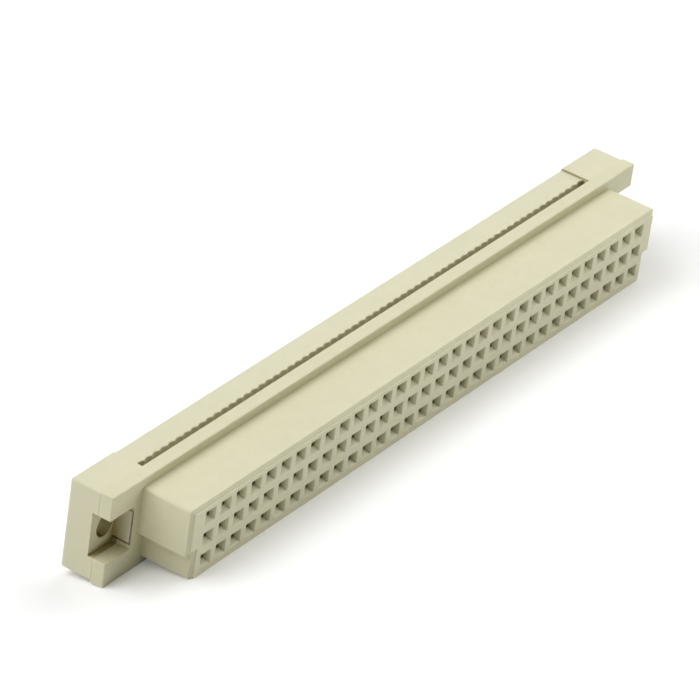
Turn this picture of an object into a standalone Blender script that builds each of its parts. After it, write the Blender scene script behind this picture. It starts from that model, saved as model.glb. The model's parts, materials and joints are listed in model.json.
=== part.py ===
# Female backplane connector, three rows of 32 cavities, ribbon cable version.
#
# The part is drawn upright: X along its length, Y = 0 on the mating face and growing
# to the rear, Z = 0 on the middle row. It is then set down as it rests: tipped forward
# on the lower edges of the mating face and of the flange.
#
# Pieces: a moulded housing with its flange and cavities, a moulded cable cover with
# its grooves and latches, and the stamped contacts, which cut into the cable.
# Row c's contacts are one body with the housing, and row a's are pieces of their own.

import math

import bmesh
import bpy
from mathutils import Matrix, Vector

# Grid of cavities
PITCH = 0.00254
COLUMNS = 32

# Insertion body
BODY_DEPTH = 0.0062
END_WALL = 0.00313           # last column's axis to the end of the upper half
TOP_WALL = 0.00171           # outer row's axis to the top or bottom face
KEY_STEP = 0.001             # the lower half is this much shorter at each end
KEY_DROP = 0.0011            # middle row to the ledge of that step
FACE_BEVEL = 0.00045         # bevel round the mating face
CORNER_RADIUS = 0.0003       # long corners of the body

# Cavities
MOUTH_WIDTH = 0.0017
MOUTH_HEIGHT = 0.00162
MOUTH_DEPTH = 0.00045
THROAT = 0.001               # square hole that guides a pin
FRONT_WALL = 0.0013          # mating face to the contact chamber
CHAMBER_HEADROOM = 0.00045   # above and below a contact
BLIND_DEPTH = 0.006          # the middle row holds no contacts and ends here

# Flange
FLANGE_THICKNESS = 0.00155
FLANGE_RISE = 0.00105        # above and below the body
EAR_LENGTH = 0.005           # beyond the body at each end
EDGE = 0.00015               # broken edges of the mouldings

# Ears: a slot for the nut, open to the front and the end, and a screw bore
NUT_SLOT_HEIGHT = 0.00505
NUT_SLOT_START = 0.0011      # beyond the body's end
NUT_SLOT_RECESS = 0.00065    # how far the slot goes on into the cover
SCREW_OFFSET = 0.0025        # beyond the body's end
SCREW_BORE = 0.0027
SLIT_WIDTH = 0.0002          # relief slit in the bottom of the bore
SLIT_LENGTH = 0.0007
SLIT_DEPTH = 0.0008
SLIT_START = 0.0003          # behind the floor of the nut slot

# Latch tongue of the cover, in a window beside the nut slot
LATCH_THICKNESS = 0.0008
LATCH_HEIGHT = 0.0037
LATCH_NOSE = 0.00025         # thin front end that reaches the flange's front
LATCH_NOSE_SETBACK = 0.0001
LIP_THICKNESS = 0.00055      # flange left in front of the latch's shoulder
LATCH_GAP = 0.0002

# Cable cover
COVER_DEPTH = 0.00365
COVER_INSET = 0.0001         # lower than the flange, top and bottom
MIDDLE_DROP = 0.00022        # middle stretch lower than the end blocks
SEAM = 0.00005               # cover to housing

# Cable slot, one groove for each wire
CABLE_GAP = 0.0007           # rear of the housing to the crests of the grooves
GROOVE_DEPTH = 0.0003
GROOVE_STEPS = 4
POCKET_CLEARANCE = 0.0002    # round a contact's fork in the cover

# Stamped contact
STRIP = 0.0003
CONTACT_PLAY = 0.0001        # contact to chamber wall
CONTACT_BITE = 0.0001        # barb of a fused contact into the chamber wall
TINE_SETBACK = 0.00035       # front wall to the tips of the tines
TINE_TIP_GAP = 0.0009
TINE_GAP = 0.0005            # where the tines grip a pin
TINE_ROOT_GAP = 0.0008
TINE_WIDTH = 0.0003
GRIP_DEPTH = 0.0026
PIN_DEPTH = 0.00605          # how far a pin can enter
SHOULDER_DEPTH = 0.0054      # where the tines join the contact's body
CONTACT_BODY_END = 0.0073
FORK_WIDTH = 0.0007
FORK_SLOT = 0.0002
FORK_REACH = 0.0021          # beyond the rear of the housing
FORK_SLOT_FLOOR = 0.0002     # beyond the rear of the housing
FORK_BEVEL = 0.0003

# Worked out from the sizes above
GRID_HALF = (COLUMNS - 1) * PITCH / 2
BODY_HALF = GRID_HALF + END_WALL
BODY_RISE = PITCH + TOP_WALL
FLANGE_HALF = BODY_HALF + EAR_LENGTH
FLANGE_TOP = BODY_RISE + FLANGE_RISE
HOUSING_REAR = BODY_DEPTH + FLANGE_THICKNESS
COVER_FRONT = HOUSING_REAR + SEAM
COVER_REAR = COVER_FRONT + COVER_DEPTH
COVER_TOP = FLANGE_TOP - COVER_INSET
WIRE_PITCH = PITCH / 2
SLOT_HALF = COLUMNS * WIRE_PITCH
CREST = HOUSING_REAR + CABLE_GAP
SLOT_FLOOR = COVER_FRONT + NUT_SLOT_RECESS
NUT_SLOT_TOP = NUT_SLOT_HEIGHT / 2
LATCH_OUTER = BODY_HALF + NUT_SLOT_START
SCREW_X = BODY_HALF + SCREW_OFFSET
FORK_SHIFT = PITCH / 4
CHAMBER_HALF = FORK_SHIFT + FORK_WIDTH / 2 + CONTACT_PLAY
CHAMBER_TOP = STRIP / 2 + CHAMBER_HEADROOM
OVERCUT = 0.0005             # how far a cutter runs past the face that it opens


def plastic(name, colour):
    material = bpy.data.materials.new(name)
    material.use_nodes = True
    shader = material.node_tree.nodes["Principled BSDF"]
    shader.inputs["Base Color"].default_value = (*colour, 1)
    shader.inputs["Roughness"].default_value = 0.48
    return material


def contact_metal():
    material = bpy.data.materials.new("contact_bronze")
    material.use_nodes = True
    shader = material.node_tree.nodes["Principled BSDF"]
    shader.inputs["Base Color"].default_value = (0.72, 0.55, 0.3, 1)
    shader.inputs["Metallic"].default_value = 1
    shader.inputs["Roughness"].default_value = 0.3
    return material


def add_object(name, shell, material=None):
    bmesh.ops.recalc_face_normals(shell, faces=shell.faces)
    mesh = bpy.data.meshes.new(name)
    shell.to_mesh(mesh)
    shell.free()
    piece = bpy.data.objects.new(name, mesh)
    bpy.context.collection.objects.link(piece)
    if material:
        mesh.materials.append(material)
    return piece


def add_loft(shell, rings):
    """Closed body through rings of equally many points, capped at both ends."""
    loops = [[shell.verts.new(point) for point in ring] for ring in rings]
    for near, far in zip(loops, loops[1:]):
        for i, corner in enumerate(near):
            following = (i + 1) % len(near)
            shell.faces.new((corner, near[following], far[following], far[i]))
    shell.faces.new(loops[0][::-1])
    shell.faces.new(loops[-1])


def add_plate(shell, outline, low, high):
    """Outline in X and Y, between two heights."""
    add_loft(shell, [[(x, y, z) for x, y in outline] for z in (low, high)])


def add_block(shell, low, high, edge=0.0):
    """Block between two corners, with broken edges if asked."""
    corners = [(low[0], low[1]), (high[0], low[1]), (high[0], high[1]), (low[0], high[1])]
    known = set(shell.edges)
    add_plate(shell, corners, low[2], high[2])
    if edge:
        edges = [line for line in shell.edges if line not in known]
        bmesh.ops.bevel(shell, geom=edges, offset=edge, segments=1, affect="EDGES")


def combine(piece, tool, operation):
    """Cut or join with another shape, which then only guides this one."""
    step = piece.modifiers.new(tool.name, "BOOLEAN")
    step.operation = operation
    step.solver = "EXACT"
    step.object = tool
    tool.hide_render = True
    tool.display_type = "WIRE"


def columns():
    return [i * PITCH - GRID_HALF for i in range(COLUMNS)]


# Housing

def body_outline(inset):
    """Keyed outline of the insertion body in X and Z, as seen from the front."""
    top = BODY_RISE - inset
    upper = BODY_HALF - inset
    lower = BODY_HALF - KEY_STEP - inset
    ledge = inset - KEY_DROP
    half = []
    for angle in (90, 45, 0):
        half.append(rounded_corner(upper, top, angle))
    half.append((upper, ledge))
    half.append((lower, ledge))
    for angle in (0, -45, -90):
        half.append(rounded_corner(lower, -top, angle))
    mirrored = [(-x, z) for x, z in reversed(half)]
    return half + mirrored


def rounded_corner(x, z, angle):
    """Point of a corner's arc. The corner is at x, z, and the arc bulges away from Z = 0."""
    turn = math.radians(angle)
    centre_x = x - CORNER_RADIUS
    centre_z = z - math.copysign(CORNER_RADIUS, z)
    return (centre_x + CORNER_RADIUS * math.cos(turn), centre_z + CORNER_RADIUS * math.sin(turn))


def insertion_body():
    shell = bmesh.new()
    root = BODY_DEPTH + FLANGE_THICKNESS / 2
    sections = ((0, FACE_BEVEL), (FACE_BEVEL, 0), (root, 0))
    rings = [[(x, y, z) for x, z in body_outline(inset)] for y, inset in sections]
    add_loft(shell, rings)
    return shell


def flange():
    shell = bmesh.new()
    low = (-FLANGE_HALF, BODY_DEPTH, -FLANGE_TOP)
    high = (FLANGE_HALF, HOUSING_REAR, FLANGE_TOP)
    add_block(shell, low, high, EDGE)
    return shell


def square_ring(x, y, z, half_width, half_height):
    signs = ((-1, -1), (1, -1), (1, 1), (-1, 1))
    return [(x + i * half_width, y, z + k * half_height) for i, k in signs]


def add_cavity(shell, x, z, rear):
    """Funnel, guiding hole and contact chamber of one cavity."""
    flare = OVERCUT * (MOUTH_WIDTH - THROAT) / 2 / MOUTH_DEPTH
    sections = (
        (-OVERCUT, MOUTH_WIDTH / 2 + flare, MOUTH_HEIGHT / 2 + flare),
        (MOUTH_DEPTH, THROAT / 2, THROAT / 2),
        (FRONT_WALL, THROAT / 2, THROAT / 2),
        (FRONT_WALL, CHAMBER_HALF, CHAMBER_TOP),
        (rear, CHAMBER_HALF, CHAMBER_TOP),
    )
    add_loft(shell, [square_ring(x, y, z, width, height) for y, width, height in sections])


def cavities():
    shell = bmesh.new()
    for x in columns():
        add_cavity(shell, x, PITCH, HOUSING_REAR + OVERCUT)
        add_cavity(shell, x, 0, BLIND_DEPTH)
        add_cavity(shell, x, -PITCH, HOUSING_REAR + OVERCUT)
    return shell


def nut_slots():
    shell = bmesh.new()
    for side in (-1, 1):
        inner, outer = sorted((side * LATCH_OUTER, side * (FLANGE_HALF + OVERCUT)))
        low = (inner, BODY_DEPTH - OVERCUT, -NUT_SLOT_TOP)
        high = (outer, HOUSING_REAR + OVERCUT, NUT_SLOT_TOP)
        add_block(shell, low, high)
    return shell


def latch_windows():
    """Windows beside the nut slots: narrow at the front lip and wide behind it."""
    open_x = LATCH_OUTER + LATCH_GAP / 2
    lip_x = LATCH_OUTER - LATCH_NOSE - LATCH_GAP / 2
    deep_x = LATCH_OUTER - LATCH_THICKNESS - LATCH_GAP
    lip_y = BODY_DEPTH + LIP_THICKNESS
    front_y = BODY_DEPTH - OVERCUT
    rear_y = HOUSING_REAR + OVERCUT
    outline = (
        (deep_x, lip_y), (lip_x, lip_y), (lip_x, front_y),
        (open_x, front_y), (open_x, rear_y), (deep_x, rear_y),
    )
    top = LATCH_HEIGHT / 2 + LATCH_GAP
    shell = bmesh.new()
    for side in (-1, 1):
        add_plate(shell, [(side * x, y) for x, y in outline], -top, top)
    return shell


def housing(material):
    piece = add_object("housing", insertion_body(), material)
    combine(piece, add_object("shape_flange", flange()), "UNION")
    combine(piece, add_object("cut_cavities", cavities()), "DIFFERENCE")
    combine(piece, add_object("cut_nut_slots", nut_slots()), "DIFFERENCE")
    combine(piece, add_object("cut_latch_windows", latch_windows()), "DIFFERENCE")
    combine(piece, add_object("shape_contacts_c", fused_contacts()), "UNION")
    return piece


# Contacts

def contact_outline(shoulder, shift):
    """Flat blank in X and Y about a cavity's axis: two tines, a body and a forked tail."""
    tine_tip = FRONT_WALL + TINE_SETBACK
    tine_back = TINE_GAP / 2 + TINE_WIDTH
    fork_tip = HOUSING_REAR + FORK_REACH
    slot_floor = HOUSING_REAR + FORK_SLOT_FLOOR
    half_fork = FORK_WIDTH / 2
    half_slot = FORK_SLOT / 2
    prong_tip = (half_fork + half_slot) / 2
    tines = [
        (-tine_back, GRIP_DEPTH), (-tine_back, tine_tip), (-TINE_TIP_GAP / 2, tine_tip),
        (-TINE_GAP / 2, GRIP_DEPTH), (-TINE_ROOT_GAP / 2, PIN_DEPTH),
    ]
    prong = [
        (half_fork, fork_tip - FORK_BEVEL), (prong_tip, fork_tip),
        (half_slot, fork_tip - FORK_BEVEL), (half_slot, slot_floor),
    ]
    outline = list(tines)
    outline += [(-x, y) for x, y in reversed(tines)]
    outline += [(shoulder, SHOULDER_DEPTH), (shoulder, CONTACT_BODY_END)]
    outline.append((shift + half_fork, CONTACT_BODY_END))
    outline += [(shift + x, y) for x, y in prong]
    outline += [(shift - x, y) for x, y in reversed(prong)]
    outline.append((shift - half_fork, CONTACT_BODY_END))
    outline += [(-shoulder, CONTACT_BODY_END), (-shoulder, SHOULDER_DEPTH)]
    return outline


def fused_contacts():
    """Row c's contacts, whose barbs bite into the chamber walls."""
    outline = contact_outline(CHAMBER_HALF + CONTACT_BITE, FORK_SHIFT)
    shell = bmesh.new()
    for column in columns():
        shifted = [(column + x, y) for x, y in outline]
        add_plate(shell, shifted, -PITCH - STRIP / 2, -PITCH + STRIP / 2)
    return shell


def row_a_contacts(material):
    shell = bmesh.new()
    outline = contact_outline(CHAMBER_HALF - CONTACT_PLAY, -FORK_SHIFT)
    add_plate(shell, outline, -STRIP / 2, STRIP / 2)
    first = add_object("contact_a01", shell, material)
    pieces = [first]
    for number in range(2, COLUMNS + 1):
        piece = bpy.data.objects.new(f"contact_a{number:02}", first.data)
        bpy.context.collection.objects.link(piece)
        pieces.append(piece)
    for piece, column in zip(pieces, columns()):
        piece.location = (column, 0, PITCH)
    return pieces


# Cable cover

def groove_line():
    """Crests and hollows of the cover's grooves, one for each wire, from left to right."""
    radius = (WIRE_PITCH ** 2 / 4 + GROOVE_DEPTH ** 2) / 2 / GROOVE_DEPTH
    half_angle = math.asin(WIRE_PITCH / 2 / radius)
    centre_y = CREST + GROOVE_DEPTH - radius
    points = []
    for wire in range(2 * COLUMNS):
        centre_x = (wire + 0.5) * WIRE_PITCH - SLOT_HALF
        for step in range(GROOVE_STEPS):
            angle = half_angle * (2 * step / GROOVE_STEPS - 1)
            points.append((centre_x + radius * math.sin(angle), centre_y + radius * math.cos(angle)))
    points.append((SLOT_HALF, CREST))
    return points


def cable_slot():
    front = COVER_FRONT - OVERCUT
    outline = [(SLOT_HALF, front), (-SLOT_HALF, front)] + groove_line()
    shell = bmesh.new()
    add_plate(shell, outline, -COVER_TOP - OVERCUT, COVER_TOP + OVERCUT)
    return shell


def middle_reliefs():
    """Lower the cover's middle stretch, top and bottom, and break its rear edges."""
    level = COVER_TOP - MIDDLE_DROP
    front = COVER_FRONT - OVERCUT
    profile = (
        (front, level), (COVER_REAR - EDGE, level), (COVER_REAR + EDGE, level - 2 * EDGE),
        (COVER_REAR + OVERCUT, level - 2 * EDGE), (COVER_REAR + OVERCUT, COVER_TOP + OVERCUT),
        (front, COVER_TOP + OVERCUT),
    )
    shell = bmesh.new()
    for side in (-1, 1):
        rings = [[(x, y, side * z) for y, z in profile] for x in (-SLOT_HALF, SLOT_HALF)]
        add_loft(shell, rings)
    return shell


def fork_pockets():
    """Pockets that take the contacts' forks behind the cable."""
    half_width = FORK_WIDTH / 2 + POCKET_CLEARANCE
    half_height = STRIP / 2 + POCKET_CLEARANCE
    front = CREST - OVERCUT
    rear = HOUSING_REAR + FORK_REACH + POCKET_CLEARANCE
    shell = bmesh.new()
    for column in columns():
        for row, shift in ((PITCH, -FORK_SHIFT), (-PITCH, FORK_SHIFT)):
            x = column + shift
            low = (x - half_width, front, row - half_height)
            high = (x + half_width, rear, row + half_height)
            add_block(shell, low, high)
    return shell


def ear_recesses():
    """The nut slots go on into the cover."""
    shell = bmesh.new()
    for side in (-1, 1):
        inner, outer = sorted((side * LATCH_OUTER, side * (FLANGE_HALF + OVERCUT)))
        low = (inner, COVER_FRONT - OVERCUT, -NUT_SLOT_TOP)
        add_block(shell, low, (outer, SLOT_FLOOR, NUT_SLOT_TOP))
    return shell


def latch_roots():
    """Space round the latches, so that each bends from the floor of its nut slot."""
    top = LATCH_HEIGHT / 2 + LATCH_GAP
    shell = bmesh.new()
    for side in (-1, 1):
        inner = side * (LATCH_OUTER - LATCH_THICKNESS - LATCH_GAP)
        near, far = sorted((inner, side * (LATCH_OUTER + LATCH_GAP / 2)))
        add_block(shell, (near, COVER_FRONT - OVERCUT, -top), (far, SLOT_FLOOR, top))
    return shell


def latches():
    nose_y = BODY_DEPTH + LATCH_NOSE_SETBACK
    shoulder_y = BODY_DEPTH + LIP_THICKNESS + LATCH_GAP
    root_y = SLOT_FLOOR + OVERCUT
    nose_x = LATCH_OUTER - LATCH_NOSE
    inner_x = LATCH_OUTER - LATCH_THICKNESS
    outline = (
        (LATCH_OUTER, nose_y), (LATCH_OUTER, root_y), (inner_x, root_y),
        (inner_x, shoulder_y), (nose_x, shoulder_y), (nose_x, nose_y),
    )
    shell = bmesh.new()
    for side in (-1, 1):
        placed = [(side * x, y) for x, y in outline]
        add_plate(shell, placed, -LATCH_HEIGHT / 2, LATCH_HEIGHT / 2)
    return shell


def screw_bores():
    length = COVER_DEPTH + 2 * OVERCUT
    turn = Matrix.Rotation(math.radians(90), 4, "X")
    shell = bmesh.new()
    for side in (-1, 1):
        place = Matrix.Translation((side * SCREW_X, COVER_FRONT + COVER_DEPTH / 2, 0)) @ turn
        bmesh.ops.create_cone(
            shell, cap_ends=True, segments=24, radius1=SCREW_BORE / 2,
            radius2=SCREW_BORE / 2, depth=length, matrix=place,
        )
    return shell


def bore_slits():
    start = SLOT_FLOOR + SLIT_START
    bottom = -SCREW_BORE / 2 - SLIT_DEPTH
    shell = bmesh.new()
    for side in (-1, 1):
        x = side * SCREW_X
        low = (x - SLIT_WIDTH / 2, start, bottom)
        add_block(shell, low, (x + SLIT_WIDTH / 2, start + SLIT_LENGTH, 0))
    return shell


def cable_cover(material):
    shell = bmesh.new()
    low = (-FLANGE_HALF, COVER_FRONT, -COVER_TOP)
    add_block(shell, low, (FLANGE_HALF, COVER_REAR, COVER_TOP), EDGE)
    piece = add_object("cable_cover", shell, material)
    combine(piece, add_object("cut_cable_slot", cable_slot()), "DIFFERENCE")
    combine(piece, add_object("cut_middle_reliefs", middle_reliefs()), "DIFFERENCE")
    combine(piece, add_object("cut_fork_pockets", fork_pockets()), "DIFFERENCE")
    combine(piece, add_object("cut_ear_recesses", ear_recesses()), "DIFFERENCE")
    combine(piece, add_object("cut_latch_roots", latch_roots()), "DIFFERENCE")
    combine(piece, add_object("cut_screw_bores", screw_bores()), "DIFFERENCE")
    combine(piece, add_object("cut_bore_slits", bore_slits()), "DIFFERENCE")
    combine(piece, add_object("shape_latches", latches()), "UNION")
    return piece


# Rest

def rest_frame():
    """Tip the part forward until the face's and the flange's lower edges touch down.

    The frame's origin ends up at the bottom of the part, under the middle of its box.
    """
    tilt = math.atan2(FLANGE_RISE, BODY_DEPTH + EDGE - FACE_BEVEL)
    turn = Matrix.Rotation(tilt, 4, "X")
    extremes = [
        turn @ Vector((0, 0, BODY_RISE - FACE_BEVEL)),
        turn @ Vector((0, FACE_BEVEL, -BODY_RISE)),
        turn @ Vector((0, COVER_REAR, EDGE - COVER_TOP)),
    ]
    middle = (extremes[0].y + extremes[2].y) / 2
    frame = bpy.data.objects.new("rest_frame", None)
    bpy.context.collection.objects.link(frame)
    frame.rotation_euler = (tilt, 0, 0)
    frame.location = (0, -middle, -extremes[1].z)
    return frame


def main():
    for old in list(bpy.data.objects):
        bpy.data.objects.remove(old, do_unlink=True)
    housing(plastic("housing_plastic", (0.58, 0.56, 0.42)))
    cable_cover(plastic("cover_plastic", (0.6, 0.58, 0.44)))
    row_a_contacts(contact_metal())
    frame = rest_frame()
    for piece in bpy.data.objects:
        if piece is not frame:
            piece.parent = frame
    bpy.context.view_layer.update()


main()
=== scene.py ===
# Looks of the backplane connector: moulded housing, cable cover and stamped contacts.
# Pieces are drawn upright in millimetres: X along the length, Y from the mating face to the
# rear, Z up from the middle row. seat() then sets each one down in the frame.

import json
import math

import bmesh
import bpy
from mathutils import Matrix, Vector


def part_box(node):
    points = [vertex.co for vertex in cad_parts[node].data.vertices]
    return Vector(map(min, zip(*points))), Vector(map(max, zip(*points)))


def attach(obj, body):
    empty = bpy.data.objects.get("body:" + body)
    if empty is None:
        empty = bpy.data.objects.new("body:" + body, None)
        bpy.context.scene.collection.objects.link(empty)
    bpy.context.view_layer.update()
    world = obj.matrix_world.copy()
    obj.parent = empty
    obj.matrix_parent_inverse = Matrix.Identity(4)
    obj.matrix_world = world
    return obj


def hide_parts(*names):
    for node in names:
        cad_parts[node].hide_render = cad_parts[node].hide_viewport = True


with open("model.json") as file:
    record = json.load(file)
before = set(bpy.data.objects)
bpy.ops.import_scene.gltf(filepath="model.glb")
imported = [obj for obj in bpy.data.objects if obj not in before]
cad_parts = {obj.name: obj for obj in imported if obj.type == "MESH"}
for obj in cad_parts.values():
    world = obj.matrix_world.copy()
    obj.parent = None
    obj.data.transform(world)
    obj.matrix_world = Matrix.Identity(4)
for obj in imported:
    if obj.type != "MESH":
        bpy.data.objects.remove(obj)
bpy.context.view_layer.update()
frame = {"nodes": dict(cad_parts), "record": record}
print("frame loaded:", len(frame["nodes"]), "nodes")


# What the frame says

millimetre = 0.001
rowA = [name for name in sorted(frame["nodes"]) if name.startswith("contact_a")]
columns = len(rowA)


def nodeMiddle(name):
    low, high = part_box(name)
    return (low + high) / 2


pitch = (nodeMiddle(rowA[1]) - nodeMiddle(rowA[0])).x / millimetre
wirePitch = pitch / 2


def restPlace():
    # the mating face's mount is half a pitch above the middle row, and its axis is upright -Y
    mounts = {mount["name"]: mount for mount in frame["record"]["mounts"]}
    face = mounts["mating_face"]
    axis = Vector(face["axis"])
    turn = Matrix.Rotation(math.atan2(-axis.z, -axis.y), 4, "X")
    start = Vector(face["pos_m"]) - turn @ Vector((0, 0, pitch / 2 * millimetre))
    return Matrix.Translation(start) @ turn @ Matrix.Scale(millimetre, 4)


toFrame = restPlace()


def highCorner(name):
    upright = toFrame.inverted()
    points = [upright @ vertex.co for vertex in frame["nodes"][name].data.vertices]
    return Vector(max(point[i] for point in points) for i in range(3))


flangeCorner, coverCorner = highCorner("housing"), highCorner("cable_cover")
flangeHalf, flangeTop = flangeCorner.x, flangeCorner.z
coverRear, coverTop = coverCorner.y, coverCorner.z
gridHalf = (columns - 1) * pitch / 2
slotHalf = columns * wirePitch
overcut = 0.5            # how far a cutter runs past the face that it opens
mergeReach = 1e-4        # points this near to each other are one
flatAngle = 32           # degrees: faces that meet at less shade as one curve


# Mesh tools

def addLoft(shell, rings):
    # closed body through rings of equally many points
    loops = [[shell.verts.new(point) for point in ring] for ring in rings]
    for near, far in zip(loops, loops[1:]):
        for i, corner in enumerate(near):
            following = (i + 1) % len(near)
            shell.faces.new((corner, near[following], far[following], far[i]))
    shell.faces.new(loops[0][::-1])
    shell.faces.new(loops[-1])


def addPlate(shell, outline, low, high):
    addLoft(shell, [[(x, y, z) for x, y in outline] for z in (low, high)])


def addBlock(shell, low, high):
    corners = [(low[0], low[1]), (high[0], low[1]), (high[0], high[1]), (low[0], high[1])]
    addPlate(shell, corners, low[2], high[2])


def arc(centre, radius, start, end, steps):
    turns = [math.radians(start + (end - start) * i / steps) for i in range(steps + 1)]
    return [(centre[0] + radius * math.cos(t), centre[1] + radius * math.sin(t)) for t in turns]


def atBothEnds(build):
    shell = bmesh.new()
    for side in (-1, 1):
        build(shell, side)
    return shell


def newPiece(name, shell, finish=None):
    bmesh.ops.recalc_face_normals(shell, faces=shell.faces)
    mesh = bpy.data.meshes.new(name)
    shell.to_mesh(mesh)
    shell.free()
    piece = bpy.data.objects.new(name, mesh)
    bpy.context.collection.objects.link(piece)
    if finish:
        mesh.materials.append(finish)
    return piece


def combine(piece, tool, operation):
    step = piece.modifiers.new(tool.name, "BOOLEAN")
    step.operation = operation
    step.solver = "EXACT"
    step.object = tool


def bake(piece):
    # modifiers become plain mesh, and the tools that they used go
    bpy.context.view_layer.update()
    graph = bpy.context.evaluated_depsgraph_get()
    mesh = bpy.data.meshes.new_from_object(piece.evaluated_get(graph), depsgraph=graph)
    tools = {step.object for step in piece.modifiers if step.type == "BOOLEAN"}
    piece.modifiers.clear()
    piece.data = mesh
    mesh.name = piece.name
    for tool in tools:
        bpy.data.objects.remove(tool)
    return piece


def smooth(piece):
    # flat faces stay flat, and small roundings shade as curves
    shell = bmesh.new()
    shell.from_mesh(piece.data)
    bmesh.ops.remove_doubles(shell, verts=shell.verts, dist=mergeReach)
    shell.to_mesh(piece.data)
    shell.free()
    piece.data.shade_smooth()
    piece.data.set_sharp_from_angle(angle=math.radians(flatAngle))
    step = piece.modifiers.new("flatFaces", "WEIGHTED_NORMAL")
    step.keep_sharp = True
    return bake(piece)


def seat(piece, slot, *nodes):
    piece.data.transform(toFrame)
    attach(piece, "root")
    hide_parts(*nodes)
    print(piece.name, "seated:", len(piece.data.polygons), "faces")


# Node tools

def addNode(tree, kind, links=None, **settings):
    # links maps a socket, by name or number, to a value or to another node's output
    node = tree.nodes.new(kind)
    for key, value in settings.items():
        setattr(node, key, value)
    for key, value in (links or {}).items():
        if isinstance(value, bpy.types.NodeSocket):
            tree.links.new(value, node.inputs[key])
        else:
            node.inputs[key].default_value = value
    return node


def calculate(tree, operation, *values):
    links = dict(enumerate(values))
    return addNode(tree, "ShaderNodeMath", links, operation=operation).outputs[0]


def newTree(name, sockets):
    tree = bpy.data.node_groups.new(name, "GeometryNodeTree")
    tree.interface.new_socket("Geometry", in_out="OUTPUT", socket_type="NodeSocketGeometry")
    for label, kind in sockets.items():
        tree.interface.new_socket(label, in_out="INPUT", socket_type="NodeSocket" + kind)
    tree.interface.new_socket("Finish", in_out="INPUT", socket_type="NodeSocketMaterial")
    return tree, addNode(tree, "NodeGroupInput").outputs


def closeTree(tree, geometry, finish):
    real = addNode(tree, "GeometryNodeRealizeInstances", {0: geometry}).outputs[0]
    made = addNode(tree, "GeometryNodeSetMaterial", {"Geometry": real, "Material": finish})
    addNode(tree, "NodeGroupOutput", {"Geometry": made.outputs[0]})


def runTree(name, tree, values):
    holder = bpy.data.objects.new(name, bpy.data.meshes.new(name))
    bpy.context.collection.objects.link(holder)
    step = holder.modifiers.new(name, "NODES")
    step.node_group = tree
    for socket in tree.interface.items_tree:
        if socket.name in values:
            step[socket.identifier] = values[socket.name]
    return bake(holder)


def buildGridTree():
    # copies of one piece in columns and rows, each off its place by a little play
    tree, given = newTree("gridOfPieces", {
        "Piece": "Object", "Columns": "Int", "Rows": "Int",
        "Column Step": "Float", "Row Step": "Float",
        "Play": "Float", "Turn": "Float", "Seed": "Int",
    })

    def line(count, step, axis):
        reach = calculate(tree, "MULTIPLY", calculate(tree, "SUBTRACT", count, 1.0), step)
        start = calculate(tree, "MULTIPLY", reach, -0.5)
        return addNode(tree, "GeometryNodeMeshLine", {
            "Count": count,
            "Start Location": addNode(tree, "ShaderNodeCombineXYZ", {axis: start}).outputs[0],
            "Offset": addNode(tree, "ShaderNodeCombineXYZ", {axis: step}).outputs[0],
        }).outputs[0]

    def scatter(reach, seed):
        high = addNode(tree, "ShaderNodeCombineXYZ", {0: reach, 1: reach, 2: reach}).outputs[0]
        low = addNode(tree, "ShaderNodeVectorMath", {0: high, "Scale": -1.0}, operation="SCALE")
        return addNode(tree, "FunctionNodeRandomValue", {
            "Min": low.outputs[0], "Max": high, "Seed": seed,
        }, data_type="FLOAT_VECTOR").outputs[0]

    across = line(given["Columns"], given["Column Step"], "X")
    up = line(given["Rows"], given["Row Step"], "Z")
    grid = addNode(tree, "GeometryNodeInstanceOnPoints", {"Points": across, "Instance": up})
    points = addNode(tree, "GeometryNodeRealizeInstances", {0: grid.outputs[0]}).outputs[0]
    loose = addNode(tree, "GeometryNodeSetPosition", {
        "Geometry": points, "Offset": scatter(given["Play"], given["Seed"]),
    }).outputs[0]
    source = addNode(tree, "GeometryNodeObjectInfo", {"Object": given["Piece"]})
    turnSeed = calculate(tree, "ADD", given["Seed"], 1.0)
    copies = addNode(tree, "GeometryNodeInstanceOnPoints", {
        "Points": loose, "Instance": source.outputs["Geometry"],
        "Rotation": scatter(given["Turn"], turnSeed),
    })
    closeTree(tree, copies.outputs[0], given["Finish"])
    return tree


gridTree = buildGridTree()
oneRow = {"Columns": columns, "Column Step": pitch, "Rows": 1, "Row Step": 2 * pitch}


def repeat(name, original, values, place=(0, 0, 0), finish=None):
    # the original is used up, and its copies are joined in one mesh
    settings = {"Piece": original, "Play": 0.0, "Turn": 0.0, "Seed": 1, "Finish": finish}
    made = runTree(name, gridTree, settings | values)
    made.data.transform(Matrix.Translation(place))
    bpy.data.objects.remove(original)
    return made


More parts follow.
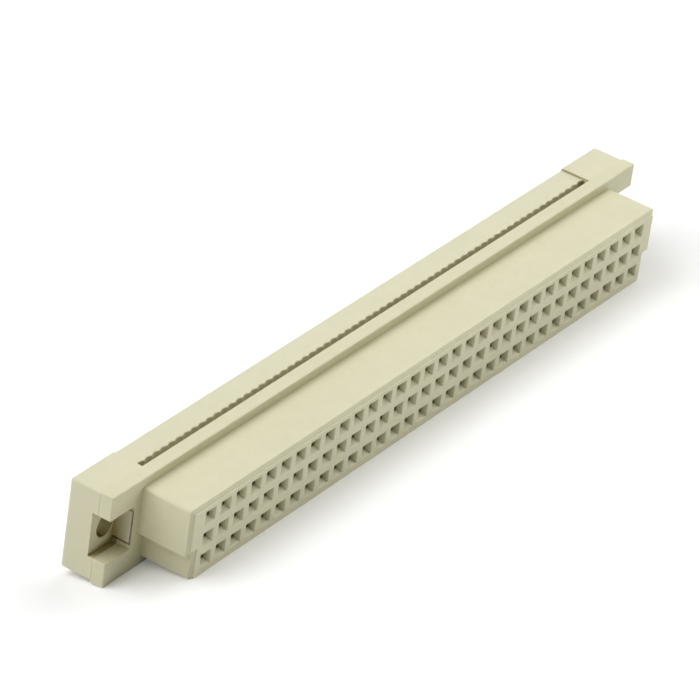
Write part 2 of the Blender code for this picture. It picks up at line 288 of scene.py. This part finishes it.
def buildGrooveTree():
    # cable slot whose rear wall has one round groove for each wire, flared at both rims
    tree, given = newTree("wireGrooves", {
        "Wires": "Int", "Wire Pitch": "Float", "Wire Steps": "Int", "Crest": "Float",
        "Groove Depth": "Float", "Half Height": "Float", "Reach": "Float", "Overcut": "Float",
        "Flare": "Float", "Flare Steps": "Int",
    })

    def combined(operation, *values):
        return calculate(tree, operation, *values)

    # rows of the sheet: the middle, the flare's rings and one row past the rim, both ways
    pastRim = combined("ADD", given["Flare Steps"], 2.0)
    rowReach = combined("MULTIPLY", pastRim, 2.0)
    sheet = addNode(tree, "GeometryNodeMeshGrid", {
        "Size X": combined("MULTIPLY", given["Wires"], given["Wire Pitch"]),
        "Size Y": rowReach,
        "Vertices X": combined("MULTIPLY_ADD", given["Wires"], given["Wire Steps"], 1.0),
        "Vertices Y": combined("ADD", rowReach, 1.0),
    }).outputs[0]
    here = addNode(tree, "GeometryNodeInputPosition").outputs[0]
    along, row = addNode(tree, "ShaderNodeSeparateXYZ", {0: here}).outputs[:2]
    ringOf = combined("ABSOLUTE", row)
    share = combined("DIVIDE", combined("SUBTRACT", ringOf, 1.0), given["Flare Steps"])
    inside = combined("MINIMUM", combined("MAXIMUM", share, 0.0), 1.0)
    turn = combined("MULTIPLY", inside, math.pi / 2)
    opened = combined("SUBTRACT", 1.0, combined("COSINE", turn))
    below = combined("SUBTRACT", 1.0, combined("SINE", turn))
    wires = combined("DIVIDE", along, given["Wire Pitch"])
    half = combined("MULTIPLY", given["Wires"], 0.5)
    swing = combined("MULTIPLY_ADD", combined("FRACT", combined("ADD", wires, half)), 2.0, -1.0)
    hollow = combined("SUBTRACT", 1.0, combined("MULTIPLY", swing, swing))
    wall = combined("MULTIPLY_ADD", hollow, given["Groove Depth"], given["Crest"])
    y = combined("MULTIPLY_ADD", opened, given["Flare"], wall)
    rim = combined("SUBTRACT", given["Half Height"], combined("MULTIPLY", below, given["Flare"]))
    offMiddle = combined("GREATER_THAN", ringOf, 0.5)
    beyond = combined("GREATER_THAN", ringOf, combined("SUBTRACT", pastRim, 0.5))
    rise = combined("MULTIPLY_ADD", beyond, given["Overcut"], combined("MULTIPLY", rim, offMiddle))
    z = combined("MULTIPLY", combined("SIGN", row), rise)
    place = addNode(tree, "ShaderNodeCombineXYZ", {0: along, 1: y, 2: z}).outputs[0]
    rear = addNode(tree, "GeometryNodeSetPosition", {"Geometry": sheet, "Position": place})
    pushed = addNode(tree, "GeometryNodeExtrudeMesh", {
        "Mesh": rear.outputs[0], "Offset": (0, -1, 0), "Offset Scale": given["Reach"],
        "Individual": False,
    })
    back = addNode(tree, "GeometryNodeFlipFaces", {"Mesh": rear.outputs[0]})
    both = addNode(tree, "GeometryNodeJoinGeometry")
    tree.links.new(pushed.outputs[0], both.inputs[0])
    tree.links.new(back.outputs[0], both.inputs[0])
    closed = addNode(tree, "GeometryNodeMergeByDistance", {
        "Geometry": both.outputs[0], "Distance": mergeReach,
    })
    closeTree(tree, closed.outputs[0], given["Finish"])
    return tree


# Finishes

def newMaterial(name):
    material = bpy.data.materials.new(name)
    material.use_nodes = True
    tree = material.node_tree
    return material, tree, tree.nodes["Principled BSDF"]


noiseLow, noiseHigh = 0.3, 0.7       # most of a noise lies between these
noiseRoughness = 0.55


def grain(tree, scale, detail, stretch=(1, 1, 1)):
    # noise on the piece's own coordinates, with so many grains to a millimetre
    place = addNode(tree, "ShaderNodeTexCoord").outputs["Object"]
    size = [scale / millimetre * along for along in stretch]
    mapped = addNode(tree, "ShaderNodeMapping", {"Vector": place, "Scale": size}).outputs[0]
    return addNode(tree, "ShaderNodeTexNoise", {
        "Vector": mapped, "Scale": 1.0, "Detail": detail, "Roughness": noiseRoughness,
    }).outputs[0]


def ease(tree, value, low, high):
    return addNode(tree, "ShaderNodeMapRange", {
        "Value": value, "From Min": noiseLow, "From Max": noiseHigh, "To Min": low, "To Max": high,
    }).outputs[0]


def blendColours(tree, factor, first, second):
    # sockets 6 and 7 are the colour pair, and output 2 their mix
    return addNode(tree, "ShaderNodeMix", {0: factor, 6: first, 7: second}, data_type="RGBA").outputs[2]


plasticLook = {
    "flow": 0.11,            # grains to a millimetre: slow drift of the melt
    "flowShare": 0.6,        # the rest of the drift is mottle
    "mottle": 0.9,
    "fibre": 7.0,            # specks of the glass filling
    "fibreStretch": (0.35, 1, 1),
    "fibreTint": 0.035,
    "fibreColour": (0.30, 0.27, 0.17, 1),
    "roughness": (0.43, 0.53),
    "grainHeight": 0.004,    # millimetres
    "grainStrength": 0.6,
    "sinkHeight": 0.012,
    "sinkStrength": 0.5,
    # painted shade: the base colour is darkened towards a brown in recesses and corners, where shade
    # falls, driven by ambient occlusion
    "paintedShadeReach": 4.5,      # millimetres within which the piece's own walls count for the painted shade
    "paintedShadeOpenness": (0.8, 0.5),    # openness at which the painted shade starts and at which it is full
    "paintedShadeColour": (0.28, 0.235, 0.06, 1),
    "paintedShadeSamples": 8,
    # painted shade is faint on the housing and strong on the cover
    "housing": {"light": (0.684, 0.660, 0.452), "dark": (0.644, 0.620, 0.420), "paintedShadeStrength": 0.25},
    "cover": {"light": (0.692, 0.668, 0.472), "dark": (0.654, 0.630, 0.440), "paintedShadeStrength": 0.9},
}


def mouldedPlastic(name, light, dark, paintedShadeStrength):
    look = plasticLook
    material, tree, shader = newMaterial(name)
    flow = ease(tree, grain(tree, look["flow"], 2), 0, 1)
    mottle = ease(tree, grain(tree, look["mottle"], 4), 0, 1)
    fibre = grain(tree, look["fibre"], 2, look["fibreStretch"])
    drift = calculate(tree, "MULTIPLY", flow, look["flowShare"])
    cloud = calculate(tree, "MULTIPLY_ADD", mottle, 1 - look["flowShare"], drift)
    melt = blendColours(tree, cloud, (*light, 1), (*dark, 1))
    speck = ease(tree, fibre, 0, look["fibreTint"])
    skinTone = blendColours(tree, speck, melt, look["fibreColour"])
    # painted shade: near the piece's own walls the base colour is mixed towards a dark brown, standing
    # in for the shade in recesses and corners
    openness = addNode(tree, "ShaderNodeAmbientOcclusion", {
        "Distance": look["paintedShadeReach"] * millimetre,
    }, samples=look["paintedShadeSamples"], only_local=True).outputs["AO"]
    begins, full = look["paintedShadeOpenness"]
    paintedShadeShare = addNode(tree, "ShaderNodeMapRange", {
        "Value": openness, "From Min": begins, "From Max": full,
        "To Min": 0.0, "To Max": paintedShadeStrength,
    }).outputs[0]
    shadedBaseColour = blendColours(tree, paintedShadeShare, skinTone, look["paintedShadeColour"])
    tree.links.new(shadedBaseColour, shader.inputs["Base Color"])
    tree.links.new(ease(tree, mottle, *look["roughness"]), shader.inputs["Roughness"])
    sink = addNode(tree, "ShaderNodeBump", {
        "Height": flow, "Strength": look["sinkStrength"],
        "Distance": look["sinkHeight"] * millimetre,
    })
    skin = addNode(tree, "ShaderNodeBump", {
        "Height": fibre, "Strength": look["grainStrength"],
        "Distance": look["grainHeight"] * millimetre, "Normal": sink.outputs[0],
    })
    tree.links.new(skin.outputs[0], shader.inputs["Normal"])
    return material


housingPlastic = mouldedPlastic("housingPlastic", **plasticLook["housing"])
coverPlastic = mouldedPlastic("coverPlastic", **plasticLook["cover"])


bronzeLook = {
    "rolled": 2.2,           # grains to a millimetre: rolling marks along the strip
    "rolledStretch": (1, 0.12, 1),
    "rolledStrength": 0.4,
    "rolledHeight": 0.003,   # millimetres
    "roughness": (0.24, 0.42),
    "stain": 0.7,
    "light": (0.80, 0.62, 0.36, 1),
    "dark": (0.66, 0.47, 0.24, 1),
}


def stampedBronze():
    look = bronzeLook
    material, tree, shader = newMaterial("stampedBronze")
    rolled = grain(tree, look["rolled"], 3, look["rolledStretch"])
    stain = ease(tree, grain(tree, look["stain"], 3), 0, 1)
    colour = blendColours(tree, stain, look["light"], look["dark"])
    tree.links.new(colour, shader.inputs["Base Color"])
    tree.links.new(ease(tree, rolled, *look["roughness"]), shader.inputs["Roughness"])
    shader.inputs["Metallic"].default_value = 1
    bump = addNode(tree, "ShaderNodeBump", {
        "Height": rolled, "Strength": look["rolledStrength"],
        "Distance": look["rolledHeight"] * millimetre,
    })
    tree.links.new(bump.outputs[0], shader.inputs["Normal"])
    return material


contactMetal = stampedBronze()
print("finishes made")


# Housing: insertion body and flange, in one moulding

bodySizes = {
    "depth": 6.2,            # mating face to the flange
    "endWall": 3.13,         # last column's axis to the end of the upper half
    "topWall": 1.71,         # outer row's axis to the top
    "keyStep": 1.0,          # the lower half is shorter by this at each end
    "keyDrop": 1.1,          # middle row to the ledge of that step
    "bevel": 0.47,           # inset of the mating face
    "bevelDepth": 0.36,      # mating face to the full outline
    "underShare": 0.22,      # share of that inset along the bottom edge
    "ledge": 0.15,           # parting line's step in front of the bevel
    "lip": 0.02,             # broken edges of the bevel and of the ledge
    "lipBulge": 0.3,         # middle point of a broken edge, as a share of it
    "cornerRadius": 0.32,
    "lowerRadius": 0.18,
    "cornerSteps": 5,
}
flangeSizes = {"thickness": 1.55, "edge": 0.13, "seamEdge": 0.08, "steps": 3}

bodyHalf = gridHalf + bodySizes["endWall"]
flangeFront = bodySizes["depth"]
housingRear = flangeFront + flangeSizes["thickness"]
coverSeam = 0.02             # housing to cover
coverFront = housingRear + coverSeam


def bodyOutline(inset):
    size = bodySizes
    radius, under, steps = size["cornerRadius"], size["lowerRadius"], size["cornerSteps"]
    top = pitch + size["topWall"] - inset
    upper = bodyHalf - inset
    lower = bodyHalf - size["keyStep"] - inset
    bottom = inset * size["underShare"] - pitch - size["topWall"]
    ledge = inset - size["keyDrop"]
    nick = size["lip"]
    half = arc((upper - radius, top - radius), radius, 90, 0, steps)
    half += [(upper, ledge + nick), (upper - nick, ledge), (lower, ledge)]
    half += arc((lower - under, bottom + under), under, 0, -90, steps)
    return half + [(-x, z) for x, z in reversed(half)]


def insertionBody():
    size = bodySizes
    bevel, full, ledge, lip = size["bevel"], size["bevelDepth"], size["ledge"], size["lip"]
    bulge = size["lipBulge"] * lip
    root = flangeFront + flangeSizes["thickness"] / 2
    nearFull = full - lip * (full - ledge) / bevel
    sections = (
        (0, bevel + lip), (bulge, bevel + bulge), (lip, bevel), (ledge, bevel),
        (nearFull, lip), (full + lip, 0), (root, 0),
    )
    shell = bmesh.new()
    addLoft(shell, [[(x, y, z) for x, z in bodyOutline(inset)] for y, inset in sections])
    return shell


def barRing(x, front, rear, top, frontRadius, rearRadius, steps):
    # rounded rectangle in Y and Z
    corners = (
        (rear - rearRadius, top - rearRadius, rearRadius, 0),
        (front + frontRadius, top - frontRadius, frontRadius, 90),
        (front + frontRadius, frontRadius - top, frontRadius, 180),
        (rear - rearRadius, rearRadius - top, rearRadius, 270),
    )
    ring = []
    for y, z, radius, start in corners:
        ring += [(x, *point) for point in arc((y, z), radius, start, start + 90, steps)]
    return ring


def endRounding(radius, steps):
    # distance from the end and inset of each ring of a rounded end
    turns = [math.pi / 2 * i / steps for i in range(steps + 1)]
    return [(radius * (1 - math.cos(t)), radius * (1 - math.sin(t))) for t in turns]


def flangeBar():
    size = flangeSizes
    edge, seam, steps = size["edge"], size["seamEdge"], size["steps"]
    rings = []
    for along, inset in endRounding(edge, steps):
        front, rear = flangeFront + inset, housingRear - inset * seam / edge
        ring = barRing(0, front, rear, flangeTop - inset, edge, seam, steps)
        rings.append([(along - flangeHalf, y, z) for x, y, z in ring])
    rings += [[(-x, y, z) for x, y, z in ring] for ring in reversed(rings)]
    shell = bmesh.new()
    addLoft(shell, rings)
    return shell


cavitySizes = {
    "mouthWidth": 1.68, "mouthHeight": 1.56, "mouthDepth": 0.55, "lip": 0.02,
    "funnel": ((0.22, 0.36), (0.55, 0.76)),      # share of the depth and of the narrowing
    "throatWidth": 1.24, "throatHeight": 0.72, "frontWall": 0.66,
    "chamberHalf": 1.085, "chamberTop": 0.6, "blindDepth": 6.0,
}


def cavityTool(rear):
    size = cavitySizes
    width, height, lip = size["mouthWidth"] / 2, size["mouthHeight"] / 2, size["lip"]
    throat, low, wall = size["throatWidth"] / 2, size["throatHeight"] / 2, size["frontWall"]
    ahead = overcut / 2      # short enough for the flared copies to stay apart
    sections = [(-ahead, width + lip + ahead, height + lip + ahead), (lip, width, height)]
    for depth, narrow in (*size["funnel"], (1, 1)):
        # the sides are rounded in, and the top and bottom run straight
        y = lip + depth * (size["mouthDepth"] - lip)
        sections.append((y, width + narrow * (throat - width), height + depth * (low - height)))
    sections += [
        (wall, throat, low), (wall, size["chamberHalf"], size["chamberTop"]),
        (rear, size["chamberHalf"], size["chamberTop"]),
    ]
    signs = ((-1, -1), (1, -1), (1, 1), (-1, 1))
    shell = bmesh.new()
    addLoft(shell, [[(i * x, y, k * z) for i, k in signs] for y, x, z in sections])
    return newPiece("cavityTool", shell)


def cavities():
    # rows a and c are open to the rear, and the middle row is blind
    through = cavityTool(housingRear + overcut)
    outer = repeat("outerCavities", through, oneRow | {"Rows": 2})
    blind = cavityTool(cavitySizes["blindDepth"])
    return outer, repeat("middleCavities", blind, oneRow)


earSizes = {
    "slotHalf": 2.525,       # half the height of the nut's slot
    "slotStart": 1.1,        # body's end to the slot
    "slotFloor": 0.65,       # how far the slot goes on into the cover
    "chamfer": 0.06,
    "screwOffset": 2.5,      # body's end to the screw's axis
    "bore": 2.7,
    "boreSides": 40,
    "slitWidth": 0.26,       # relief slit in the bottom of the bore
    "slitLength": 0.78,
    "slitDepth": 0.8,
    "slitStart": 0.2,        # behind the floor of the nut's slot
    "slitShift": -0.06,      # from the screw's axis towards the body
}
latchSizes = {
    "thickness": 0.8,
    "half": 1.85,            # half the height
    "nose": 0.12,            # thickness of the front end
    "setback": 0.2,          # flange's front to the nose
    "lip": 0.75,             # thickness of the flange in front of the shoulder
    "gap": 0.2,              # latch to the window round it
    "edge": 0.04,
    "rim": 0.06,             # depth of the window's narrower front
    "rimInset": 0.14,        # latch's outer face to the inner side of that front
}
latchOuter = bodyHalf + earSizes["slotStart"]
slotFloor = coverFront + earSizes["slotFloor"]
screwX = bodyHalf + earSizes["screwOffset"]


def addNutSlot(shell, side):
    # open to the front and to the end, with broken edges at both openings
    size = earSizes
    start, broken = flangeFront - overcut, size["chamfer"]

    def profile(grow):
        half, floor = size["slotHalf"] + grow, slotFloor + grow
        flared = half + broken + overcut
        return (
            (start, flared), (flangeFront + broken, half), (floor, half),
            (floor, -half), (flangeFront + broken, -half), (start, -flared),
        )

    places = ((latchOuter, 0), (flangeHalf - broken, 0), (flangeHalf + overcut, broken + overcut))
    addLoft(shell, [[(side * x, y, z) for y, z in profile(grow)] for x, grow in places])


def addLatchWindow(shell, side):
    size = latchSizes
    openX = latchOuter + size["gap"] / 2
    lipX = latchOuter - size["nose"] - size["gap"]
    deepX = latchOuter - size["thickness"] - size["gap"]
    rimX, rimY = latchOuter - size["rimInset"], flangeFront + size["rim"]
    lipY, front = flangeFront + size["lip"], flangeFront - overcut
    rear = housingRear + overcut
    outline = (
        (deepX, lipY), (lipX, lipY), (lipX, rimY), (rimX, rimY), (rimX, front),
        (openX, front), (openX, rear), (deepX, rear),
    )
    top = size["half"] + size["gap"]
    addPlate(shell, [(side * x, y) for x, y in outline], -top, top)


def housingShell():
    piece = newPiece("housingShell", insertionBody(), housingPlastic)
    combine(piece, newPiece("flangeShape", flangeBar()), "UNION")
    for tool in cavities():
        combine(piece, tool, "DIFFERENCE")
    combine(piece, newPiece("nutSlots", atBothEnds(addNutSlot)), "DIFFERENCE")
    combine(piece, newPiece("latchWindows", atBothEnds(addLatchWindow)), "DIFFERENCE")
    seat(smooth(bake(piece)), "housing", "housing")


housingShell()


# Cable cover: end blocks, grooved middle stretch and latches

coverSizes = {
    "edge": 0.26, "seamEdge": 0.01, "steps": 4,
    "endInset": 0.07,        # the cover ends this much inside the flange
    "middleDrop": 0.22,      # the middle stretch is this much lower than the end blocks
    "stepDraft": 0.03,       # lean of the step between them
}
grooveSizes = {              # by the names of the node tree's inputs
    "Wires": 2 * columns, "Wire Pitch": wirePitch, "Wire Steps": 8, "Groove Depth": 0.22,
    "Flare": 0.14, "Flare Steps": 3, "Reach": 1.3, "Overcut": overcut,
}
cableGap = 0.7               # rear of the housing to the crests of the grooves
forkSizes = {
    "width": 0.7, "reach": 2.1,          # from the rear of the housing
    "strip": 0.3,                        # thickness of the sheet metal
    "clearance": 0.2,                    # fork to its pocket
}
forkShift = pitch / 4        # row a's forks stand this far to one side, row c's to the other
marks = {"count": 6, "spacing": 15.24, "radius": 0.8, "depth": 0.05, "sides": 24}


def coverBar():
    size = coverSizes
    edge, seam, steps = size["edge"], size["seamEdge"], size["steps"]

    def ring(x, drop, inset=0):
        front, rear = coverFront + inset * seam / edge, coverRear - inset
        return barRing(x, front, rear, coverTop - drop - inset, seam, edge, steps)

    half = flangeHalf - size["endInset"]
    rings = [ring(along - half, 0, inset) for along, inset in endRounding(edge, steps)]
    rings.append(ring(-slotHalf - size["stepDraft"], 0))
    rings.append(ring(-slotHalf, size["middleDrop"]))
    rings += [[(-x, y, z) for x, y, z in near] for near in reversed(rings)]
    shell = bmesh.new()
    addLoft(shell, rings)
    return shell


def forkPockets():
    size = forkSizes
    half = size["width"] / 2 + size["clearance"]
    top = size["strip"] / 2 + size["clearance"]
    made = []
    for row, shift in ((pitch, -forkShift), (-pitch, forkShift)):
        shell = bmesh.new()
        rear = housingRear + size["reach"] + size["clearance"]
        addBlock(shell, (-half, housingRear + cableGap - overcut, -top), (half, rear, top))
        pocket = newPiece("pocketTool", shell)
        made.append(repeat("forkPockets", pocket, oneRow, (shift, 0, row)))
    return made


def addLatchRoot(shell, side):
    size = latchSizes
    top = size["half"] + size["gap"]
    inner = side * (latchOuter - size["thickness"] - size["gap"])
    near, far = sorted((inner, side * (latchOuter + size["gap"] / 2)))
    addBlock(shell, (near, coverFront - overcut, -top), (far, slotFloor, top))


def addLatch(shell, side):
    size = latchSizes
    noseY, rootY = flangeFront + size["setback"], slotFloor + overcut
    shoulderY = flangeFront + size["lip"] + size["gap"]
    noseX, innerX = latchOuter - size["nose"], latchOuter - size["thickness"]
    outline = (
        (latchOuter, noseY), (latchOuter, rootY), (innerX, rootY),
        (innerX, shoulderY), (noseX, shoulderY), (noseX, noseY),
    )
    addPlate(shell, [(side * x, y) for x, y in outline], -size["half"], size["half"])


def latches():
    # an edge knows that it is convex only once all the faces point outwards
    shell = atBothEnds(addLatch)
    bmesh.ops.recalc_face_normals(shell, faces=shell.faces)
    edges = [edge for edge in shell.edges if edge.is_convex]
    bmesh.ops.bevel(shell, geom=edges, offset=latchSizes["edge"], segments=1, affect="EDGES")
    return shell


def addScrewBore(shell, side):
    radius, broken = earSizes["bore"] / 2, earSizes["chamfer"]
    sections = (
        (slotFloor - broken, radius + 2 * broken), (slotFloor + broken, radius),
        (coverRear - 2 * broken, radius), (coverRear + broken, radius + 3 * broken),
    )
    rings = []
    for y, wide in sections:
        points = arc((side * screwX, 0), wide, 0, 360, earSizes["boreSides"])[:-1]
        rings.append([(x, y, z) for x, z in points])
    addLoft(shell, rings)


def addBoreSlit(shell, side):
    size = earSizes
    half, start = size["slitWidth"] / 2, slotFloor + size["slitStart"]
    middle = side * (screwX - size["slitShift"])
    bottom = -size["bore"] / 2 - size["slitDepth"]
    high = (middle + half, start + size["slitLength"], 0)
    addBlock(shell, (middle - half, start, bottom), high)


def ejectorMarks():
    # shallow round marks of the mould's pins on the rear face
    circle = arc((0, 0), marks["radius"], 0, 360, marks["sides"])[:-1]
    depths = (coverRear - marks["depth"], coverRear + overcut)
    shell = bmesh.new()
    addLoft(shell, [[(x, y, z) for x, z in circle] for y in depths])
    grid = oneRow | {"Columns": marks["count"], "Column Step": marks["spacing"]}
    return repeat("ejectorMarks", newPiece("markTool", shell), grid)


def coverShell():
    piece = newPiece("coverShell", coverBar(), coverPlastic)
    slot = runTree("cableSlot", buildGrooveTree(), grooveSizes | {
        "Crest": housingRear + cableGap, "Half Height": coverTop - coverSizes["middleDrop"],
    })
    tools = [slot, *forkPockets(), ejectorMarks()]
    for build in (addNutSlot, addLatchRoot, addScrewBore, addBoreSlit):
        tools.append(newPiece(build.__name__, atBothEnds(build)))
    for tool in tools:
        combine(piece, tool, "DIFFERENCE")
    combine(piece, newPiece("latchShapes", latches()), "UNION")
    seat(smooth(bake(piece)), "cover", "cable_cover")


coverShell()


# Contacts: two tines that grip a pin, a body, and a fork that cuts into the cable

contactSizes = {             # places along Y count from the mating face
    "tineStart": 1.65, "tipGap": 0.9, "gripGap": 0.5, "rootGap": 0.8, "tineWidth": 0.3,
    "gripY": 2.6, "pinEnd": 6.05, "shoulderY": 5.4, "bodyEnd": 7.3, "shoulder": 0.985,
    "forkSlot": 0.2, "forkSlotStart": 0.2, "forkBevel": 0.3, "edge": 0.03, "edgeAngle": 50,
    "tineSteps": 8,
    "crowding": 1.5,         # above 1, a tine's points crowd towards its tip
}
contactPlay = {"Play": 0.02, "Turn": 0.006, "Seed": 32}      # millimetres and radians, each way


def tineGap(y):
    # wide at the tip, narrow at the grip and wide again at the root
    size = contactSizes
    if y < size["gripY"]:
        share = (size["gripY"] - y) / (size["gripY"] - size["tineStart"])
        return size["gripGap"] + (size["tipGap"] - size["gripGap"]) * share ** 2
    share = (y - size["gripY"]) / (size["pinEnd"] - size["gripY"])
    return size["gripGap"] + (size["rootGap"] - size["gripGap"]) * math.sin(share * math.pi / 2)


def contactOutline(shift):
    size = contactSizes
    start, end, steps = size["tineStart"], size["pinEnd"], size["tineSteps"]
    inner = []
    for i in range(steps + 1):
        y = start + (end - start) * (i / steps) ** size["crowding"]
        inner.append((-tineGap(y) / 2, y))
    outer = [(x - size["tineWidth"], y) for x, y in inner if y < size["shoulderY"]]
    tine = outer[::-1] + inner
    fork, slot = forkSizes["width"] / 2, size["forkSlot"] / 2
    tip, floor = housingRear + forkSizes["reach"], housingRear + size["forkSlotStart"]
    prong = [
        (fork, tip - size["forkBevel"]), ((fork + slot) / 2, tip),
        (slot, tip - size["forkBevel"]), (slot, floor),
    ]
    outline = tine + [(-x, y) for x, y in reversed(tine)]
    outline += [(size["shoulder"], size["shoulderY"]), (size["shoulder"], size["bodyEnd"])]
    outline.append((shift + fork, size["bodyEnd"]))
    outline += [(shift + x, y) for x, y in prong]
    outline += [(shift - x, y) for x, y in reversed(prong)]
    outline.append((shift - fork, size["bodyEnd"]))
    outline += [(-size["shoulder"], size["bodyEnd"]), (-size["shoulder"], size["shoulderY"])]
    return outline


def contactRow(name, row, shift, *nodes):
    half = forkSizes["strip"] / 2
    shell = bmesh.new()
    addPlate(shell, contactOutline(shift), -half, half)
    blank = newPiece("contactBlank", shell)
    rounding = blank.modifiers.new("stampedEdge", "BEVEL")
    rounding.width = contactSizes["edge"]
    rounding.segments = 1
    rounding.angle_limit = math.radians(contactSizes["edgeAngle"])
    bake(blank)
    piece = repeat(name, blank, oneRow | contactPlay, (0, 0, row), contactMetal)
    seat(smooth(piece), "contacts", *nodes)


contactRow("contactsRowA", pitch, -forkShift, *rowA)
contactRow("contactsRowC", -pitch, forkShift, "housing")


# Studio

studio = {
    "sky": 0.0,              # light of the plain surroundings
    "floorColour": 0.93,
    "floorLift": 0.118,      # glow that lights nothing: only the camera and reflections see it
    "floorSize": 6.0,
    "floorCells": 8,
    "floorGrain": 0.02,      # grains to a millimetre
    "floorDrift": 0.01,
}
softboxes = {                # degrees, metres and watts
    "keyLight": {"azimuth": -123, "height": 55, "distance": 0.7, "size": 0.5, "power": 1.66},
    "wideKey": {"azimuth": -123, "height": 55, "distance": 0.74, "size": 1.1, "power": 4.7},
    "sideLight": {"azimuth": 90, "height": 50, "distance": 0.7, "size": 0.5, "power": 1.21},
    "frontLight": {"azimuth": 60, "height": 50, "distance": 0.7, "size": 0.5, "power": 0.93},
    "lowLight": {"azimuth": 50, "height": 9, "distance": 0.7, "size": 0.5, "power": 2.31},
}


def seenDirectly(tree):
    # 1 for rays that the camera, a reflection or a clear material sends
    path = addNode(tree, "ShaderNodeLightPath").outputs
    mirrored = calculate(tree, "MAXIMUM", path["Is Glossy Ray"], path["Is Transmission Ray"])
    return calculate(tree, "MAXIMUM", path["Is Camera Ray"], mirrored)


def plainWorld():
    world = bpy.data.worlds.new("plainStudio")
    bpy.context.scene.world = world
    world.use_nodes = True
    tree = world.node_tree
    tree.nodes.clear()
    sky, white = (
        addNode(tree, "ShaderNodeBackground", {"Color": (1, 1, 1, 1), "Strength": strength})
        for strength in (studio["sky"], 1.0)
    )
    mixed = addNode(tree, "ShaderNodeMixShader", {
        0: seenDirectly(tree), 1: sky.outputs[0], 2: white.outputs[0],
    })
    addNode(tree, "ShaderNodeOutputWorld", {"Surface": mixed.outputs[0]})


def whiteFloor():
    shell = bmesh.new()
    cells = studio["floorCells"]
    bmesh.ops.create_grid(shell, x_segments=cells, y_segments=cells, size=studio["floorSize"] / 2)
    floor = newPiece("floor", shell)
    material, tree, shader = newMaterial("paperFloor")
    tree.nodes.remove(shader)
    pale = studio["floorColour"]
    paper = ease(tree, grain(tree, studio["floorGrain"], 2), pale, pale + studio["floorDrift"])
    sheet = addNode(tree, "ShaderNodeBsdfDiffuse", {"Color": paper})
    glow = addNode(tree, "ShaderNodeEmission", {
        "Strength": calculate(tree, "MULTIPLY", seenDirectly(tree), studio["floorLift"]),
    })
    both = addNode(tree, "ShaderNodeAddShader", {0: sheet.outputs[0], 1: glow.outputs[0]})
    tree.links.new(both.outputs[0], tree.nodes["Material Output"].inputs["Surface"])
    floor.data.materials.append(material)


def towards(azimuth, height):
    # azimuth 0 is in front of the mating face, and 90 at the right-hand end
    a, h = math.radians(azimuth), math.radians(height)
    return Vector((math.sin(a) * math.cos(h), -math.cos(a) * math.cos(h), math.sin(h)))


def softbox(name, azimuth, height, distance, size, power):
    lamp = bpy.data.lights.new(name, "AREA")
    lamp.energy = power
    lamp.size = size
    light = bpy.data.objects.new(name, lamp)
    bpy.context.collection.objects.link(light)
    away = towards(azimuth, height)
    light.location = away * distance
    light.rotation_euler = away.to_track_quat("Z", "Y").to_euler()
    light.visible_camera = False


plainWorld()
whiteFloor()
for name, place in softboxes.items():
    softbox(name, **place)
print("studio lit")


# Camera, from the photograph: its distance and lens follow from the grid of cavities

cameraPlace = {              # degrees and millimetres
    "azimuth": -54.8009, "height": 25.8424, "roll": -1.0406,
    "aim": (1.1644, 5.4358, 5.0), "distance": 558.77, "lens": 275.185,
}


def addCamera():
    place = cameraPlace
    camera = bpy.data.objects.new("camera", bpy.data.cameras.new("camera"))
    bpy.context.collection.objects.link(camera)
    bpy.context.scene.camera = camera
    camera.data.lens = place["lens"]
    away = towards(place["azimuth"], place["height"])
    camera.location = (Vector(place["aim"]) + away * place["distance"]) * millimetre
    level = away.to_track_quat("Z", "Y").to_matrix()
    roll = Matrix.Rotation(math.radians(place["roll"]), 3, "Z")
    camera.rotation_euler = (level @ roll).to_euler()


addCamera()
bpy.context.scene.view_settings.view_transform = "Standard"
